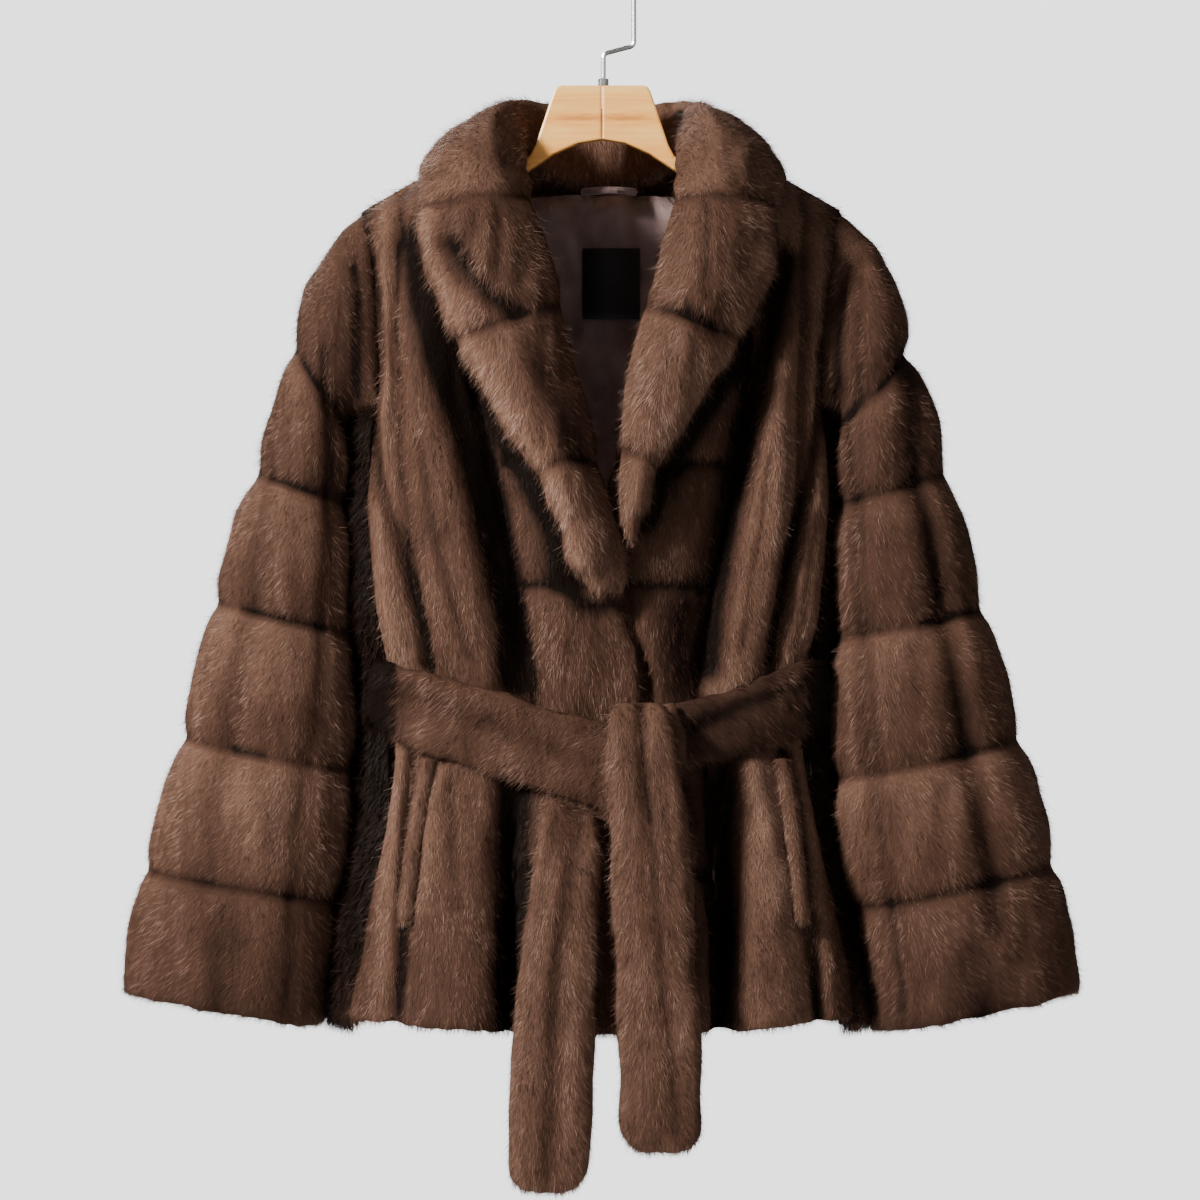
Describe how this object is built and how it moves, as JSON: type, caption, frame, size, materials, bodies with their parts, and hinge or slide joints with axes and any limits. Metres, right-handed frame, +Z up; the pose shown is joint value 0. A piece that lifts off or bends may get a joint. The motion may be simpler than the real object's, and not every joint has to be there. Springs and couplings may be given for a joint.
{
  "type": "faux fur jacket on hanger",
  "caption": "Hip-length faux fur jacket with shawl collar, bell sleeves and tied belt, hung on a wooden hanger with a wire hook.",
  "frame": {"origin": "inside top of the hanger's hook, the point that rests on a rail", "axes": "+Z up, the jacket's front faces -Y, the wearer's left is +X"},
  "size_m": [0.714, 0.2327, 0.9207],
  "materials": {
    "fur": "dense brown pile with guard hairs",
    "satin": "dark satin lining",
    "label": "plain black woven label, bare",
    "wood": "lacquered beech",
    "steel": "polished steel wire"
  },
  "bodies": {
    "root": {"back_centre": "fur", "back_side_left": "fur", "back_side_right": "fur", "belt_back": "fur", "belt_knot": "fur", "belt_left": "fur", "belt_right": "fur", "belt_tail_front": "fur", "belt_tail_under": "fur", "collar_back": "fur", "front_centre_left_1": "fur", "front_centre_left_2": "fur", "front_centre_left_3": "fur", "front_centre_left_4": "fur", "front_centre_left_5": "fur", "front_centre_right_1": "fur", "front_centre_right_2": "fur", "front_centre_right_3": "fur", "front_centre_right_4": "fur", "front_centre_right_5": "fur", "front_panel_left": "fur", "front_panel_right": "fur", "front_strip_left": "fur", "front_strip_right": "fur", "hang_loop": "satin", "hanger_left": "wood", "hanger_right": "wood", "hook": "steel", "hook_nut": "steel", "label": "label", "lapel_left_1": "fur", "lapel_left_2": "fur", "lapel_left_3": "fur", "lapel_right_1": "fur", "lapel_right_2": "fur", "lapel_right_3": "fur", "lining_back": "satin", "pocket_lip_left": "fur", "pocket_lip_right": "fur", "side_panel_left": "fur", "side_panel_right": "fur", "sleeve_left_1": "fur", "sleeve_left_2": "fur", "sleeve_left_3": "fur", "sleeve_left_4": "fur", "sleeve_left_5": "fur", "sleeve_left_6": "fur", "sleeve_right_1": "fur", "sleeve_right_2": "fur", "sleeve_right_3": "fur", "sleeve_right_4": "fur", "sleeve_right_5": "fur", "sleeve_right_6": "fur"}
  },
  "joints": []
}
